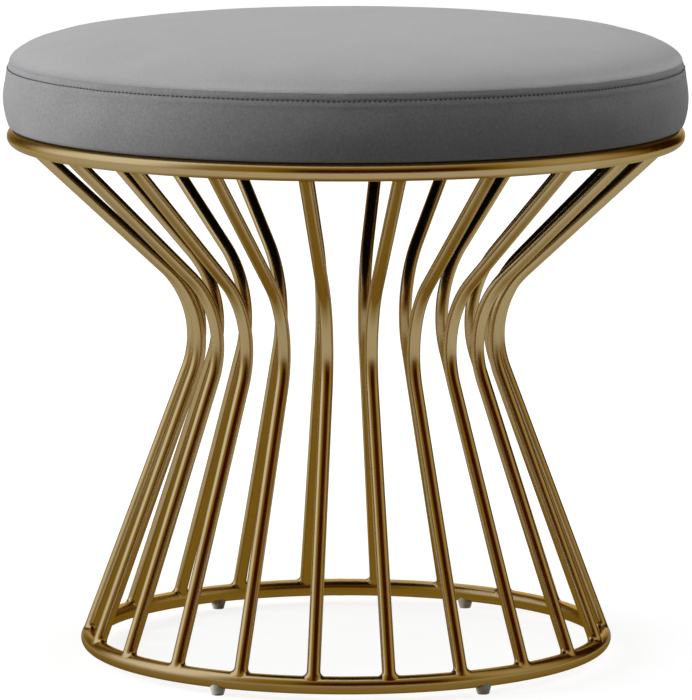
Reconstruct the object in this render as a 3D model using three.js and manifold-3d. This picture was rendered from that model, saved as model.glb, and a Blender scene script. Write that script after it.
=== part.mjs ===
// Vanity stool: a round upholstered seat on an hourglass cage of bent rods between two hoops.
// Millimetres, +Z up. The origin is on the floor, under the middle of the seat; the front is -Y.
import * as THREE from "three";
import { mergeVertices } from "three/addons/utils/BufferGeometryUtils.js";
import Module from "manifold-3d";

const wasm = await Module();
wasm.setup();

// Gap between pieces that touch, and how far a cut runs past what it cuts
const CLEARANCE = 0.3;
const OVERRUN = 1;

// Hoops of round bar at the floor and under the seat
const BAR_DIAMETER = 12.7;
const BOTTOM_RING_RADIUS = 186;
const TOP_RING_RADIUS = 237;
const TOP_RING_HEIGHT = 377;
const RING_SIDES = 12;
const RING_STEPS_PER_ROD = 3;

// Rods: each leans in from the bottom hoop to a corner at the waist and out again to the top hoop.
// The corner is where the two straight runs would meet; the bend rounds it off.
const ROD_COUNT = 22;
const ROD_DIAMETER = 9.5;
const ROD_FOOT_OFFSET = 1.5;
const ROD_HEAD_SETBACK = 4;
const WAIST_RADIUS = 98;
const WAIST_HEIGHT = 251;
const BEND_RADIUS = 70;
const ROD_SIDES = 10;
const BEND_STEPS = 7;
const COPE_SIDES = 16;

// Glides: tapered plastic pads on pins that plug in the bottom hoop
const FOOT_HEIGHT = 5;
const FOOT_BASE_DIAMETER = 8.8;
const FOOT_TOP_DIAMETER = 11;
const FOOT_EDGE_CHAMFER = 0.6;
const FOOT_PIN_DIAMETER = 5;
const FOOT_PIN_LENGTH = 6;
const FOOT_ANGLES_DEG = [-30, 30, 150, 210];
const FOOT_SIDES = 16;

// Seat: widest at the belly, drawn in above it to the seam join and below it to the hem corner
const SEAT_OVERHANG = 2;
const BELLY_HEIGHT = 19.5;
const JOIN_HEIGHT = 47.2;
const JOIN_DRAW_IN = 4.2;
const HEM_DRAW_IN = 2.7;
const HEM_CORNER_RADIUS = 3;
const CROWN_RISE = 27.5;
const CROWN_FULLNESS = 3.4;
const CROWN_ROUNDNESS = 1.95;
const COVER_THICKNESS = 1.5;
const HEM_WIDTH = 26;
const SEAT_FACETS_PER_ROD = 2;
const CROWN_STEPS = 6;
const SIDE_SHARES = [0.55];
const HEM_CORNER_STEPS = 2;

// Board that the upholstery is built on, and the black cloth tacked under it
const BOARD_THICKNESS = 15;
const DUST_COVER_THICKNESS = 0.8;
const DUST_COVER_LAP = 12;

// Lugs welded inside the top hoop, one in the middle of each of these gaps between rods
const TAB_GAPS = [3, 8, 14, 19];
const TAB_REACH = 42;
const TAB_WIDTH = 22;
const TAB_THICKNESS = 3;
const TAB_HOLE_INSET = 11;

// Seat screws, their washers, and the tee nuts in the board
const SCREW_DIAMETER = 6;
const SCREW_LENGTH = 20;
const SCREW_HEAD_DIAMETER = 11;
const SCREW_HEAD_HEIGHT = 3.3;
const SCREW_SOCKET_WIDTH = 4;
const SCREW_SOCKET_DEPTH = 2;
const WASHER_DIAMETER = 13;
const WASHER_THICKNESS = 1.2;
const TEE_NUT_FLANGE_DIAMETER = 19;
const TEE_NUT_FLANGE_THICKNESS = 1.5;
const TEE_NUT_BARREL_DIAMETER = 8.6;
const TEE_NUT_LENGTH = 11;
const FASTENER_SIDES = 12;
const HEX_SIDES = 6;

// Places worked out from the sizes above
const BAR_RADIUS = BAR_DIAMETER / 2;
const BOTTOM_RING_HEIGHT = FOOT_HEIGHT + BAR_RADIUS;
const ROD_PITCH = (2 * Math.PI) / ROD_COUNT;
const SEAT_RADIUS = TOP_RING_RADIUS + BAR_RADIUS + SEAT_OVERHANG;
const SEAT_BASE = TOP_RING_HEIGHT + BAR_RADIUS + CLEARANCE;
const JOIN_RADIUS = SEAT_RADIUS - JOIN_DRAW_IN;
const HEM_CORNER_CENTRE = SEAT_RADIUS - HEM_DRAW_IN - HEM_CORNER_RADIUS;
const HEM_EDGE_RADIUS = HEM_CORNER_CENTRE - HEM_WIDTH;
const BOARD_RADIUS = HEM_CORNER_CENTRE;
const BOARD_BASE = SEAT_BASE + COVER_THICKNESS + CLEARANCE;
const BOARD_TOP = BOARD_BASE + BOARD_THICKNESS;
const DUST_COVER_TOP = SEAT_BASE - CLEARANCE;
const DUST_COVER_BASE = DUST_COVER_TOP - DUST_COVER_THICKNESS;
const TAB_TOP = DUST_COVER_BASE - CLEARANCE;
const TAB_BASE = TAB_TOP - TAB_THICKNESS;
const SCREW_CIRCLE_RADIUS = TOP_RING_RADIUS - TAB_REACH + TAB_HOLE_INSET;
const SCREW_HOLE_RADIUS = SCREW_DIAMETER / 2 + CLEARANCE;
const WASHER_BASE = TAB_BASE - CLEARANCE - WASHER_THICKNESS;
const SCREW_SHOULDER = WASHER_BASE - CLEARANCE;
const SEAT_FACETS = SEAT_FACETS_PER_ROD * ROD_COUNT;

// Turns a closed three.js geometry into a solid for cutting and joining.
function solidOf(geometry) {
  const bare = geometry.clone();
  bare.deleteAttribute("normal");
  bare.deleteAttribute("uv");
  const merged = mergeVertices(bare);
  return new wasm.Manifold(
    new wasm.Mesh({
      numProp: 3,
      vertProperties: merged.getAttribute("position").array,
      triVerts: new Uint32Array(merged.getIndex().array),
    }),
  );
}

function geometryOf(solid) {
  const mesh = solid.getMesh();
  const geometry = new THREE.BufferGeometry();
  geometry.setAttribute("position", new THREE.BufferAttribute(mesh.vertProperties, 3));
  geometry.setIndex(new THREE.BufferAttribute(mesh.triVerts, 1));
  geometry.computeVertexNormals();
  return geometry;
}

function cut(geometry, cutters) {
  return geometryOf(cutters.reduce((rest, cutter) => rest.subtract(solidOf(cutter)), solidOf(geometry)));
}

// A body turned about Z from [radius, height] points, given up the outside and down the inside.
function turned(points, sides) {
  const profile = points.map(([radius, height]) => new THREE.Vector2(radius, height));
  return new THREE.LatheGeometry(profile, sides).rotateX(Math.PI / 2);
}

// An upright rod of round or many-sided section between two heights, for holes and barrels.
function upright(radius, low, high, sides, x = 0) {
  const body = new THREE.CylinderGeometry(radius, radius, high - low, sides).rotateX(Math.PI / 2);
  return body.translate(x, 0, (low + high) / 2);
}

// The space that a hoop takes near one piece, with its gap, where that piece is cut to fit the bar.
function barSeat(ringRadius, ringHeight, length) {
  const radius = (BAR_RADIUS + CLEARANCE) / Math.cos(Math.PI / COPE_SIDES);
  return new THREE.CylinderGeometry(radius, radius, length, COPE_SIDES).translate(ringRadius, 0, ringHeight);
}

const stool = new THREE.Group();

// Adds a piece as a named mesh, turned about Z to its place round the stool.
function place(name, geometry, finish, angle = 0) {
  const mesh = new THREE.Mesh(geometry, new THREE.MeshStandardMaterial(finish));
  mesh.name = name;
  const turn = new THREE.Group();
  turn.rotation.z = angle;
  turn.add(mesh);
  stool.add(turn);
}

const SATIN_BRASS = { color: "#9a7d46", roughness: 0.35, metalness: 1 };
const GREY_VELVET = { color: "#8c8c8d", roughness: 0.95, metalness: 0 };
const PALE_FOAM = { color: "#e6dfc4", roughness: 0.95, metalness: 0 };
const PLYWOOD = { color: "#c2a071", roughness: 0.7, metalness: 0 };
const BLACK_CLOTH = { color: "#17171a", roughness: 0.95, metalness: 0 };
const ZINC_PLATE = { color: "#b4b6b8", roughness: 0.4, metalness: 1 };
const CLEAR_PLASTIC = { color: "#a39d92", roughness: 0.5, metalness: 0 };

// Angle, from +X, of a place measured from the front (-Y) towards the right (+X)
const fromFront = (angle) => angle - Math.PI / 2;
const numbered = (name, index) => name + "_" + String(index + 1).padStart(2, "0");

// Centre line of a rod in the XZ plane: one step for each straight run and BEND_STEPS for the bend.
class BentRodPath extends THREE.Curve {
  constructor(foot, corner, head, bendRadius) {
    super();
    this.foot = foot;
    this.head = head;
    const down = foot.clone().sub(corner).normalize();
    const up = head.clone().sub(corner).normalize();
    const halfAngle = down.angleTo(up) / 2;
    const reach = bendRadius / Math.tan(halfAngle);
    this.bendStart = corner.clone().addScaledVector(down, reach);
    this.bendEnd = corner.clone().addScaledVector(up, reach);
    const middle = down.clone().add(up).normalize();
    this.centre = corner.clone().addScaledVector(middle, bendRadius / Math.sin(halfAngle));
    this.spoke = this.bendStart.clone().sub(this.centre);
    this.sweep = Math.PI - 2 * halfAngle;
  }

  getPoint(t, target = new THREE.Vector3()) {
    const station = t * (BEND_STEPS + 2);
    if (station <= 1) return target.lerpVectors(this.foot, this.bendStart, station);
    if (station >= BEND_STEPS + 1) {
      return target.lerpVectors(this.bendEnd, this.head, station - BEND_STEPS - 1);
    }
    const turn = ((station - 1) / BEND_STEPS) * this.sweep;
    return target.copy(this.spoke).applyAxisAngle(THREE.Object3D.DEFAULT_UP, turn).add(this.centre);
  }

  getUtoTmapping(u) {
    return u;
  }
}

// Rod, coped to the bar at both ends
function rodGeometry() {
  const foot = new THREE.Vector3(BOTTOM_RING_RADIUS + ROD_FOOT_OFFSET, 0, BOTTOM_RING_HEIGHT);
  const corner = new THREE.Vector3(WAIST_RADIUS, 0, WAIST_HEIGHT);
  const head = new THREE.Vector3(TOP_RING_RADIUS - ROD_HEAD_SETBACK, 0, TOP_RING_HEIGHT);
  const section = Array.from({ length: ROD_SIDES }, (_, i) => {
    const angle = (2 * Math.PI * i) / ROD_SIDES;
    return new THREE.Vector2(Math.cos(angle), Math.sin(angle)).multiplyScalar(ROD_DIAMETER / 2);
  });
  const rod = new THREE.ExtrudeGeometry(new THREE.Shape(section), {
    steps: BEND_STEPS + 2,
    extrudePath: new BentRodPath(foot, corner, head, BEND_RADIUS),
  });
  const seatLength = 2 * ROD_DIAMETER;
  return cut(rod, [
    barSeat(BOTTOM_RING_RADIUS, BOTTOM_RING_HEIGHT, seatLength),
    barSeat(TOP_RING_RADIUS, TOP_RING_HEIGHT, seatLength),
  ]);
}

// Hoop, turned so that a corner of its many-sided outline meets each rod
function ringGeometry(radius, height) {
  const steps = RING_STEPS_PER_ROD * ROD_COUNT;
  const ring = new THREE.TorusGeometry(radius, BAR_RADIUS, RING_SIDES, steps);
  const turn = RING_STEPS_PER_ROD % 2 ? Math.PI / steps : 0;
  return ring.rotateZ(turn + fromFront(0)).translate(0, 0, height);
}

const footAngles = FOOT_ANGLES_DEG.map((degrees) => fromFront(THREE.MathUtils.degToRad(degrees)));
const footPinTop = FOOT_HEIGHT + FOOT_PIN_LENGTH;

// Bottom hoop, drilled from below for the glide pins
function bottomRingGeometry() {
  const hole = upright(
    FOOT_PIN_DIAMETER / 2 + CLEARANCE,
    0,
    footPinTop + CLEARANCE,
    FOOT_SIDES,
    BOTTOM_RING_RADIUS,
  );
  const holes = footAngles.map((angle) => hole.clone().rotateZ(angle));
  return cut(ringGeometry(BOTTOM_RING_RADIUS, BOTTOM_RING_HEIGHT), holes);
}

// Glide: a tapered pad hollowed to the bar's underside, with its pin
function footGeometry() {
  const top = BOTTOM_RING_HEIGHT - CLEARANCE;
  const pad = turned(
    [
      [0, 0],
      [FOOT_BASE_DIAMETER / 2 - FOOT_EDGE_CHAMFER, 0],
      [FOOT_BASE_DIAMETER / 2, FOOT_EDGE_CHAMFER],
      [FOOT_TOP_DIAMETER / 2, FOOT_HEIGHT],
      [FOOT_TOP_DIAMETER / 2, top],
      [0, top],
    ],
    FOOT_SIDES,
  ).translate(BOTTOM_RING_RADIUS, 0, 0);
  const pin = upright(
    FOOT_PIN_DIAMETER / 2,
    FOOT_EDGE_CHAMFER,
    footPinTop,
    FOOT_SIDES,
    BOTTOM_RING_RADIUS,
  );
  const seat = barSeat(BOTTOM_RING_RADIUS, BOTTOM_RING_HEIGHT, 2 * FOOT_TOP_DIAMETER);
  return geometryOf(solidOf(pad).subtract(solidOf(seat)).add(solidOf(pin)));
}

// Seat surface above the join, moved in by an inset: points from the axis out to the rim
function crownPoints(inset) {
  const base = SEAT_BASE + JOIN_HEIGHT + CLEARANCE;
  return Array.from({ length: CROWN_STEPS + 1 }, (_, i) => {
    const angle = (Math.PI / 2) * (i / CROWN_STEPS);
    const across = Math.sin(angle) ** (2 / CROWN_FULLNESS);
    const up = i < CROWN_STEPS ? Math.cos(angle) ** (2 / CROWN_ROUNDNESS) : 0;
    return [across * (JOIN_RADIUS - inset), base + up * (CROWN_RISE - inset)];
  });
}

// Seat surface below the join, moved in by an inset: points from the join down to the hem corner
function sidePoints(inset) {
  const radius = SEAT_RADIUS - inset;
  const low = HEM_CORNER_RADIUS;
  const rise = JOIN_HEIGHT - BELLY_HEIGHT;
  const drop = BELLY_HEIGHT - low;
  const above = [1, ...SIDE_SHARES].map((s) => [radius - JOIN_DRAW_IN * s ** 2, BELLY_HEIGHT + rise * s]);
  const below = SIDE_SHARES.map((s) => [radius - HEM_DRAW_IN * s ** 2, BELLY_HEIGHT - drop * s]).reverse();
  const points = [...above, [radius, BELLY_HEIGHT], ...below, [radius - HEM_DRAW_IN, low]];
  return points.map(([r, height]) => [r, SEAT_BASE + height]);
}

// Rounded corner between the side and the underside, as far as the underside
function hemCornerPoints(inset) {
  const radius = HEM_CORNER_RADIUS - inset;
  return Array.from({ length: HEM_CORNER_STEPS }, (_, i) => {
    const angle = (Math.PI / 2) * ((i + 1) / HEM_CORNER_STEPS);
    const height = SEAT_BASE + HEM_CORNER_RADIUS - radius * Math.sin(angle);
    return [HEM_CORNER_CENTRE + radius * Math.cos(angle), height];
  });
}

// Cover's top panel: a crowned skin that ends at the join
function topPanelGeometry() {
  return turned([...crownPoints(COVER_THICKNESS), ...crownPoints(0).reverse()], SEAT_FACETS);
}

// Cover's side band: from the join down the side, round the corner and in under the board
function sideBandGeometry() {
  const skin = (inset) => [
    ...sidePoints(inset),
    ...hemCornerPoints(inset),
    [HEM_EDGE_RADIUS, SEAT_BASE + inset],
  ];
  const outside = skin(0).reverse();
  return turned([...outside, ...skin(COVER_THICKNESS), outside[0]], SEAT_FACETS);
}

// Foam: fills the cover over the board and wraps down round the board's edge
function foamGeometry() {
  const inset = COVER_THICKNESS + CLEARANCE;
  const skirtBase = SEAT_BASE + HEM_CORNER_RADIUS;
  const inner = BOARD_RADIUS + CLEARANCE;
  const outside = [...crownPoints(inset), ...sidePoints(inset)];
  return turned(
    [[0, BOARD_TOP + CLEARANCE], [inner, BOARD_TOP + CLEARANCE], [inner, skirtBase], ...outside.reverse()],
    SEAT_FACETS,
  );
}

const tabAngles = TAB_GAPS.map((gap) => fromFront(gap * ROD_PITCH));
const screwHoles = (radius, low, high) =>
  tabAngles.map((angle) => upright(radius, low, high, FASTENER_SIDES, SCREW_CIRCLE_RADIUS).rotateZ(angle));

// Board, bored and counterbored for the tee nuts
function boardGeometry() {
  const board = upright(BOARD_RADIUS, BOARD_BASE, BOARD_TOP, SEAT_FACETS);
  const flangeSeat = BOARD_TOP - TEE_NUT_FLANGE_THICKNESS - 2 * CLEARANCE;
  return cut(board, [
    ...screwHoles(TEE_NUT_BARREL_DIAMETER / 2 + CLEARANCE, BOARD_BASE - OVERRUN, BOARD_TOP + OVERRUN),
    ...screwHoles(TEE_NUT_FLANGE_DIAMETER / 2 + CLEARANCE, flangeSeat, BOARD_TOP + OVERRUN),
  ]);
}

// Dust cover: flat cloth over the inner part of the hem, pierced for the screws
function dustCoverGeometry() {
  const cloth = upright(HEM_EDGE_RADIUS + DUST_COVER_LAP, DUST_COVER_BASE, DUST_COVER_TOP, SEAT_FACETS);
  const hole = SCREW_HOLE_RADIUS + CLEARANCE;
  return cut(cloth, screwHoles(hole, DUST_COVER_BASE - OVERRUN, DUST_COVER_TOP + OVERRUN));
}

// Lug: flat bar coped to the inside of the top hoop, with a screw hole
function tabGeometry() {
  const inner = TOP_RING_RADIUS - TAB_REACH;
  const plate = new THREE.BoxGeometry(TAB_REACH, TAB_WIDTH, TAB_THICKNESS).translate(
    inner + TAB_REACH / 2,
    0,
    TAB_BASE + TAB_THICKNESS / 2,
  );
  const hole = upright(
    SCREW_HOLE_RADIUS + CLEARANCE,
    TAB_BASE - OVERRUN,
    TAB_TOP + OVERRUN,
    FASTENER_SIDES,
    SCREW_CIRCLE_RADIUS,
  );
  return cut(plate, [hole, barSeat(TOP_RING_RADIUS, TOP_RING_HEIGHT, 2 * TAB_WIDTH)]);
}

// Seat screw, head down, with a hexagon socket
function screwGeometry() {
  const headBase = SCREW_SHOULDER - SCREW_HEAD_HEIGHT;
  const tip = SCREW_SHOULDER + SCREW_LENGTH;
  const screw = turned(
    [
      [0, headBase],
      [SCREW_HEAD_DIAMETER / 2 - SCREW_HEAD_HEIGHT / 2, headBase],
      [SCREW_HEAD_DIAMETER / 2, SCREW_SHOULDER - SCREW_HEAD_HEIGHT / 2],
      [SCREW_HEAD_DIAMETER / 2, SCREW_SHOULDER],
      [SCREW_DIAMETER / 2, SCREW_SHOULDER],
      [SCREW_DIAMETER / 2, tip],
      [0, tip],
    ],
    FASTENER_SIDES,
  );
  const acrossCorners = SCREW_SOCKET_WIDTH / Math.cos(Math.PI / HEX_SIDES);
  const socket = upright(acrossCorners / 2, headBase - OVERRUN, headBase + SCREW_SOCKET_DEPTH, HEX_SIDES);
  return cut(screw, [socket]).translate(SCREW_CIRCLE_RADIUS, 0, 0);
}

function washerGeometry() {
  const hole = SCREW_HOLE_RADIUS;
  const rim = WASHER_DIAMETER / 2;
  const top = WASHER_BASE + WASHER_THICKNESS;
  return turned(
    [
      [hole, WASHER_BASE],
      [rim, WASHER_BASE],
      [rim, top],
      [hole, top],
      [hole, WASHER_BASE],
    ],
    FASTENER_SIDES,
  ).translate(SCREW_CIRCLE_RADIUS, 0, 0);
}

// Tee nut: flange on top in the board's counterbore, barrel down the bore round the screw
function teeNutGeometry() {
  const top = BOARD_TOP - CLEARANCE;
  const flangeBase = top - TEE_NUT_FLANGE_THICKNESS;
  const base = top - TEE_NUT_LENGTH;
  return turned(
    [
      [SCREW_HOLE_RADIUS, base],
      [TEE_NUT_BARREL_DIAMETER / 2, base],
      [TEE_NUT_BARREL_DIAMETER / 2, flangeBase],
      [TEE_NUT_FLANGE_DIAMETER / 2, flangeBase],
      [TEE_NUT_FLANGE_DIAMETER / 2, top],
      [SCREW_HOLE_RADIUS, top],
      [SCREW_HOLE_RADIUS, base],
    ],
    FASTENER_SIDES,
  ).translate(SCREW_CIRCLE_RADIUS, 0, 0);
}

// The cage
place("bottom_ring", bottomRingGeometry(), SATIN_BRASS);
place("top_ring", ringGeometry(TOP_RING_RADIUS, TOP_RING_HEIGHT), SATIN_BRASS);
const rod = rodGeometry();
for (let i = 0; i < ROD_COUNT; i++) {
  place(numbered("rod", i), rod, SATIN_BRASS, fromFront((i + 1 / 2) * ROD_PITCH));
}
const foot = footGeometry();
footAngles.forEach((angle, i) => place(numbered("foot", i), foot, CLEAR_PLASTIC, angle));

// The seat
place("seat_board", boardGeometry(), PLYWOOD);
place("seat_foam", foamGeometry(), PALE_FOAM);
place("cover_top_panel", topPanelGeometry(), GREY_VELVET);
place("cover_side_band", sideBandGeometry(), GREY_VELVET);
place("dust_cover", dustCoverGeometry(), BLACK_CLOTH);

// What holds the seat on the cage
const fixings = [
  ["mounting_tab", tabGeometry(), SATIN_BRASS],
  ["seat_screw", screwGeometry(), ZINC_PLATE],
  ["washer", washerGeometry(), ZINC_PLATE],
  ["tee_nut", teeNutGeometry(), ZINC_PLATE],
];
for (const [name, geometry, finish] of fixings) {
  tabAngles.forEach((angle, i) => place(numbered(name, i), geometry, finish, angle));
}

export default stool;
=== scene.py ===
# Looks of the vanity stool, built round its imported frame. Metres, +Z up, the front is -Y.
import contextlib
import math

import bmesh
import bpy
from mathutils import Matrix, Vector, kdtree, noise

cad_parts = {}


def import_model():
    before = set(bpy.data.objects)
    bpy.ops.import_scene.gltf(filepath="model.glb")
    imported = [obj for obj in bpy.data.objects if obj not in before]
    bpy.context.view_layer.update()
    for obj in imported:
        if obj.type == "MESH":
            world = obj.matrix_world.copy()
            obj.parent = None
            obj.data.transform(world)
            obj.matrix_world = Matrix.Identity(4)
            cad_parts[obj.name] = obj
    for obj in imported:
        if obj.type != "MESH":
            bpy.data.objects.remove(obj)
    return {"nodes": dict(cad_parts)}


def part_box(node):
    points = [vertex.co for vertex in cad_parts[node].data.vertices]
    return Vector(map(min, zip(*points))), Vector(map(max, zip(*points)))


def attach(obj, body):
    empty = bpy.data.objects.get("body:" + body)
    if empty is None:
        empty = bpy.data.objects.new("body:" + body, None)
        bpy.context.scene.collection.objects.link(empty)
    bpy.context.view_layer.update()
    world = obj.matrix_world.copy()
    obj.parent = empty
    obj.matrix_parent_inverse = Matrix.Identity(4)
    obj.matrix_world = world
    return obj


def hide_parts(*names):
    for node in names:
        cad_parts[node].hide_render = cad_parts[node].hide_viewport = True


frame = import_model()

bl_info = {
    "name": "Vanity Stool",
    "version": (1, 0, 0),
    "blender": (4, 5, 0),
    "location": "View3D > Sidebar > Stool",
    "description": "Models and finishes a round upholstered stool on a cage of bent rods",
    "category": "Object",
}

MM = 0.001
TURN = 2 * math.pi
QUARTER = math.pi / 2
FRONT = -QUARTER
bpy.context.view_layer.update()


def middle(node):
    """Centre of a CAD node's box."""
    low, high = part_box(node)
    return (low + high) / 2


def span(node):
    """Size of a CAD node's box."""
    low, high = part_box(node)
    return high - low


def nodes_named(start):
    """Names of the CAD nodes of one kind, in their order round the stool."""
    return sorted(name for name in frame["nodes"] if name.startswith(start))


# Counts of steps that make curves look round, and the shares of a weld where its loops lie
HOOP_STEPS = 264
BAR_SIDES = 40
ROD_SIDES = 28
BEND_STEPS = 26
TURNED_STEPS = 48
PANEL_STEPS = 434
CROWN_STEPS = 56
WELD_SHARES = [0, 0.2, 0.4, 0.6, 0.8, 1]

# Vertices this close are merged, and one this close to a line or a plane lies on it
MERGE = 0.002 * MM
TOUCH = 0.01 * MM

# Rounding of the velvet where the top panel meets the side band, and half the gap between them
JOIN_EDGE = 0.15 * MM
JOIN_GAP = 0.02 * MM

# How far a lug reaches in from the top hoop's centre line, and its hole from its inner end
LUG_REACH = 42 * MM
LUG_HOLE = 11 * MM

# Gaps between rods that hold a lug, counted from the front towards the right, and the glides' angles
LUG_GAPS = [3, 8, 14, 19]
GLIDE_ANGLES = [math.radians(degrees) for degrees in (-30, 30, 150, 210)]

# Most of a noise texture's values lie between these two
NOISE_LOW = 0.3
NOISE_HIGH = 0.7


def length(name, description, default):
    """A size that a user can change, shown in millimetres or metres."""
    return bpy.props.FloatProperty(
        name=name, description=description, default=default, min=0, unit="LENGTH", precision=5
    )


def linear(hex_colour):
    """Linear red, green and blue of an sRGB hex colour."""
    channels = [int(hex_colour[i : i + 2], 16) / 255 for i in (1, 3, 5)]
    return [c / 12.92 if c <= 0.04045 else ((c + 0.055) / 1.055) ** 2.4 for c in channels]


def colour(name, description, hex_colour):
    """A colour that a user can change."""
    return bpy.props.FloatVectorProperty(
        name=name, description=description, default=linear(hex_colour), min=0, max=1, subtype="COLOR"
    )


class StoolSizes(bpy.types.PropertyGroup):
    """Sizes of the stool."""

    bar_diameter: length("Hoop bar", "Diameter of the round bar of both hoops", span("top_ring").z)
    bottom_radius: length(
        "Bottom hoop", "Radius of the bottom hoop's centre line",
        (span("bottom_ring").x - span("bottom_ring").z) / 2,
    )
    bottom_height: length(
        "Bottom hoop height", "Height of the bottom hoop's centre line", middle("bottom_ring").z
    )
    top_radius: length(
        "Top hoop", "Radius of the top hoop's centre line",
        (span("top_ring").x - span("top_ring").z) / 2,
    )
    top_height: length("Top hoop height", "Height of the top hoop's centre line", middle("top_ring").z)
    rod_diameter: length("Rod", "Diameter of the rods", 9.5 * MM)
    foot_offset: length("Foot offset", "How far outside the bar's centre a rod stands", 1.5 * MM)
    head_setback: length("Head setback", "How far inside the bar's centre a rod ends", 4 * MM)
    waist_radius: length("Waist", "Radius where a rod's straight runs would meet", 98 * MM)
    waist_height: length("Waist height", "Height where a rod's straight runs would meet", 251 * MM)
    bend_radius: length("Bend", "Radius of a rod's bend, at its centre line", 70 * MM)
    weld_leg: length("Weld leg", "How far a weld reaches along the rod and the bar", 4.2 * MM)
    glide_base: length("Glide base", "Diameter of a glide at the floor", 8.8 * MM)
    glide_top: length("Glide top", "Diameter of a glide at the hoop", 11 * MM)
    glide_edge: length("Glide edge", "Rounding of a glide's lower edge", 0.9 * MM)
    glide_pin: length("Glide pin", "Diameter of the pin that plugs in the hoop", 5 * MM)
    seat_radius: length("Seat", "Radius of the seat at its belly", span("cover_side_band").x / 2)
    seat_base: length("Seat base", "Height of the seat's underside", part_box("cover_side_band")[0].z)
    belly: length("Belly height", "Height of the widest line over the underside", 19.5 * MM)
    join: length("Join height", "Height of the seam join over the underside", 47.2 * MM)
    join_draw: length("Join draw-in", "How far the join lies inside the belly", 4.2 * MM)
    hem_draw: length("Hem draw-in", "How far the lower corner lies inside the belly", 2.7 * MM)
    hem_corner: length("Hem corner", "Height of the rounded lower corner", 3 * MM)
    hem_width: length("Hem", "How far the cover runs in under the board", 26 * MM)
    crown_rise: length("Crown", "Rise of the seat from the join to its middle", 27.5 * MM)
    cover: length("Cover", "Thickness of the velvet and its backing", 1.5 * MM)
    stitch_drop: length("Stitch drop", "Distance of the topstitching below the join", 4.5 * MM)
    stitch_pitch: length("Stitch", "Length of one stitch of the topstitching", 3.5 * MM)
    thread: length("Thread", "Diameter of the sewing thread", 0.8 * MM)


class StoolColours(bpy.types.PropertyGroup):
    """Colours of the stool's finishes."""

    brass: colour("Brass", "Satin brass plate of the cage", "#CDAF70")
    # The two velvet tones are one velvet, the top painted lighter and the side darker: painted light
    # and shade
    velvet_top: colour("Velvet on top", "Velvet of the top panel, its pile towards the eye", "#BABABB")
    velvet_side: colour("Velvet at the side", "Velvet of the side band, its pile down", "#9E9E9F")
    # The thread's dark grey is partly its own colour and partly painted shade of its needle holes and
    # groove
    thread: colour("Thread", "Sewing thread of the topstitching", "#2C2C2E")
    glide: colour("Glide", "Natural nylon of the glides", "#F0EADF")
    cloth: colour("Base cloth", "Spun-bonded cloth under the seat", "#0D0D0E")
    zinc: colour("Zinc", "Zinc plate of the screws and staples", "#B9BBBD")
    plywood: colour("Plywood", "Birch plywood of the seat board", "#C9AC7E")
    foam: colour("Foam", "Polyurethane foam of the seat", "#E8E0C6")
    floor: colour("Floor", "Painted studio floor", "#A0A0A0")


# Modelling helpers


def deselect():
    """Leaves nothing selected, because an operator acts on all that is."""
    bpy.ops.object.select_all(action="DESELECT")


def activate(piece):
    """Makes one piece the only one selected, and active."""
    deselect()
    piece.select_set(True)
    bpy.context.view_layer.objects.active = piece


def begin(name, primitive, **settings):
    """Adds a primitive at its size and place, names it and puts its place in its mesh."""
    deselect()
    primitive(**settings)
    piece = bpy.context.object
    piece.name = piece.data.name = name
    bpy.ops.object.transform_apply(location=True, rotation=True, scale=True)
    return piece


@contextlib.contextmanager
def editing(piece, action="DESELECT"):
    """Edit mode on one piece, in vertex mode, with nothing selected or, with SELECT, all of it."""
    activate(piece)
    bpy.ops.object.mode_set(mode="EDIT")
    bpy.ops.mesh.select_mode(type="VERT")
    bpy.ops.mesh.select_all(action=action)
    yield
    bpy.ops.object.mode_set(mode="OBJECT")


def pick(piece, test):
    """In edit mode, selects the vertices whose place passes a test, and what lies between them."""
    cage = bmesh.from_edit_mesh(piece.data)
    for vertex in cage.verts:
        vertex.select = bool(test(vertex.co))
    cage.select_flush(True)
    bmesh.update_edit_mesh(piece.data)


def lay(piece, rule):
    """In edit mode, puts each selected vertex where a rule says."""
    cage = bmesh.from_edit_mesh(piece.data)
    for vertex in cage.verts:
        if vertex.select:
            vertex.co = rule(vertex.co)
    bmesh.update_edit_mesh(piece.data)


def extrude(offset=(0, 0, 0)):
    """In edit mode, extrudes what is selected and moves it by an offset."""
    bpy.ops.mesh.extrude_region_move(TRANSFORM_OT_translate={"value": offset})


def modify(piece, kind, **settings):
    """Adds a modifier with its settings and applies it."""
    activate(piece)
    modifier = piece.modifiers.new(kind.title(), kind)
    for name, value in settings.items():
        setattr(modifier, name, value)
    bpy.ops.object.modifier_apply(modifier=modifier.name)


def close_up(piece):
    """Merges what coincides and turns the faces outwards."""
    with editing(piece, "SELECT"):
        bpy.ops.mesh.remove_doubles(threshold=MERGE)
        bpy.ops.mesh.normals_make_consistent(inside=False)


def cut(piece, tool):
    """Takes a tool's form out of a piece."""
    modify(piece, "BOOLEAN", object=tool, operation="DIFFERENCE", solver="EXACT")
    bpy.data.objects.remove(tool)


def turned(name, outline, steps=TURNED_STEPS):
    """Draws half a section, of (radius, height) points, and spins it about the axis."""
    piece = begin(name, bpy.ops.mesh.primitive_plane_add)
    points = [Vector((radius, 0, height)) for radius, height in outline]
    with editing(piece, "SELECT"):
        bpy.ops.mesh.merge(type="CENTER")
        bpy.ops.transform.translate(value=points[0])
        for start, end in zip(points, points[1:]):
            extrude(end - start)
    modify(
        piece, "SCREW", angle=TURN, steps=steps, render_steps=steps,
        use_merge_vertices=True, merge_threshold=MERGE,
    )
    close_up(piece)
    return piece


def shift(piece, offset):
    """Moves a piece within its mesh."""
    piece.data.transform(Matrix.Translation(offset))


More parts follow.
